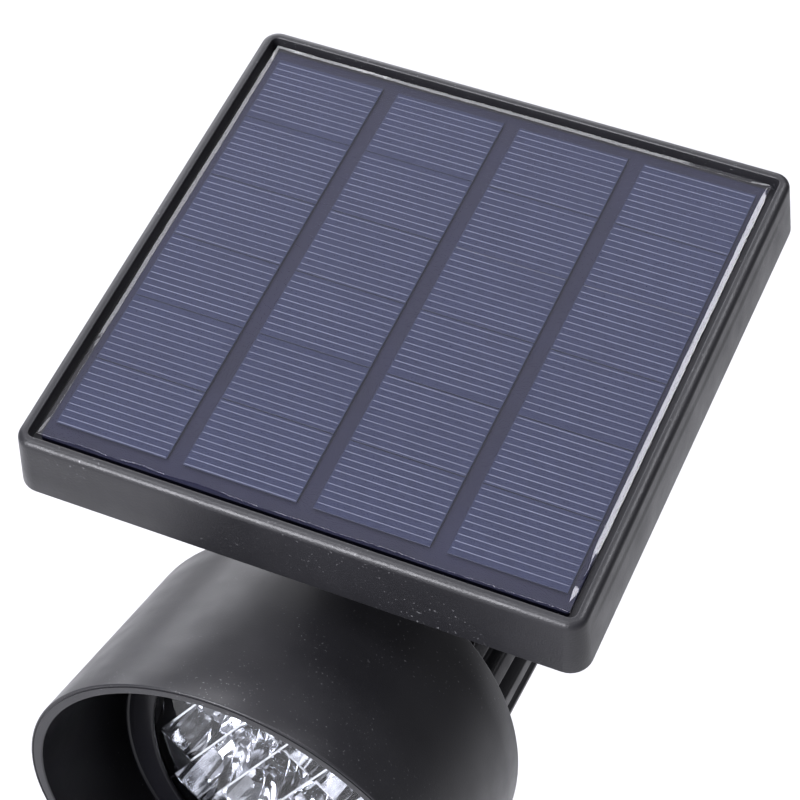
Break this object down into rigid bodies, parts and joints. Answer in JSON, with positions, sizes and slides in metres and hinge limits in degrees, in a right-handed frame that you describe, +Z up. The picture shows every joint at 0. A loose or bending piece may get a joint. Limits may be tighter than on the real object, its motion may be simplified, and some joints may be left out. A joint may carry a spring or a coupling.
{
  "type": "solar garden light",
  "caption": "Solar garden spotlight: a square solar panel hinged over a round hooded lamp with a ribbed housing, tilting on a ground spike.",
  "frame": {"origin": "on the spike's axis at ground level, in the plane of the collar's underside", "axes": "+Z up along the stake, the lamp shines along -Y at rest, +X to the right seen from the front"},
  "size_m": [0.123, 0.1478, 0.3969],
  "materials": {
    "black_plastic": "satin, fine moulded grain",
    "stake_plastic": "satin",
    "bezel_plastic": "gloss",
    "chrome_reflector": "vacuum-metallised plastic",
    "clear_lens": "clear, polished",
    "resin": "clear poured epoxy, gloss",
    "board": "satin",
    "silicon": "blue-violet solar cells with fine silver fingers",
    "led": "satin",
    "steel": "zinc-plated",
    "rubber": "matte",
    "circuit": "satin",
    "aluminium": "satin",
    "battery": "blue shrink sleeve over a metal can"
  },
  "bodies": {
    "stake": {"ground_spike": "stake_plastic", "stake_post": "stake_plastic", "post_screw": "steel"},
    "bracket": {"swivel_fork": "black_plastic", "tilt_bolt": "steel"},
    "tilt_knob": {"tilt_knob": "black_plastic"},
    "head": {"lamp_body": "black_plastic", "hood": "black_plastic", "hood_screw_1": "steel", "hood_screw_2": "steel", "hood_screw_3": "steel", "lens_ring": "bezel_plastic", "lens": "clear_lens", "reflector": "chrome_reflector", "led_board": "aluminium", "led_1": "led", "led_2": "led", "led_3": "led", "led_4": "led", "led_5": "led", "led_6": "led", "led_7": "led", "led_8": "led", "rear_cap": "black_plastic", "rear_screw_1": "steel", "rear_screw_2": "steel", "rear_screw_3": "steel", "rear_seal": "rubber", "circuit_board": "circuit", "button_switch": "bezel_plastic", "battery_holder": "bezel_plastic", "battery_cell": "battery"},
    "power_button": {"power_button": "rubber"},
    "panel_arm": {"panel_arm": "black_plastic", "arm_clip": "steel"},
    "panel": {"panel_frame": "black_plastic", "panel_back": "black_plastic", "panel_screw_1": "steel", "panel_screw_2": "steel", "panel_screw_3": "steel", "panel_screw_4": "steel", "solar_board": "board", "cell_string_1": "silicon", "cell_string_2": "silicon", "cell_string_3": "silicon", "cell_string_4": "silicon", "resin_coat": "resin", "hinge_bolt": "steel"},
    "hinge_knob": {"hinge_knob": "black_plastic"}
  },
  "joints": [
    {"name": "head_swivel", "type": "hinge", "parent": "stake", "child": "bracket", "pos_m": [0, 0, 0.09], "axis": [0, 0, 1], "continuous": true},
    {"name": "head_tilt", "type": "hinge", "parent": "bracket", "child": "head", "pos_m": [0, 0, 0.118], "axis": [1, 0, 0], "range_deg": [-60, 45]},
    {"name": "tilt_knob_turn", "type": "hinge", "parent": "bracket", "child": "tilt_knob", "pos_m": [0.015, 0, 0.118], "axis": [1, 0, 0], "range_deg": [0, 300]},
    {"name": "power_button_press", "type": "slide", "parent": "head", "child": "power_button", "axis": [0, -1, 0], "range_m": [0, 0.0015], "stiffness_N_per_m": 600, "springref_m": -0.0005},
    {"name": "panel_swivel", "type": "hinge", "parent": "head", "child": "panel_arm", "pos_m": [0, 0.00859, 0.212], "axis": [0, 0, 1], "range_deg": [-90, 90]},
    {"name": "panel_tilt", "type": "hinge", "parent": "panel_arm", "child": "panel", "pos_m": [0, 0.00859, 0.2325], "axis": [1, 0, 0], "range_deg": [-54, 4]},
    {"name": "hinge_knob_turn", "type": "hinge", "parent": "panel", "child": "hinge_knob", "pos_m": [0.013, 0.00859, 0.2325], "axis": [1, 0, 0], "range_deg": [0, 300]}
  ]
}
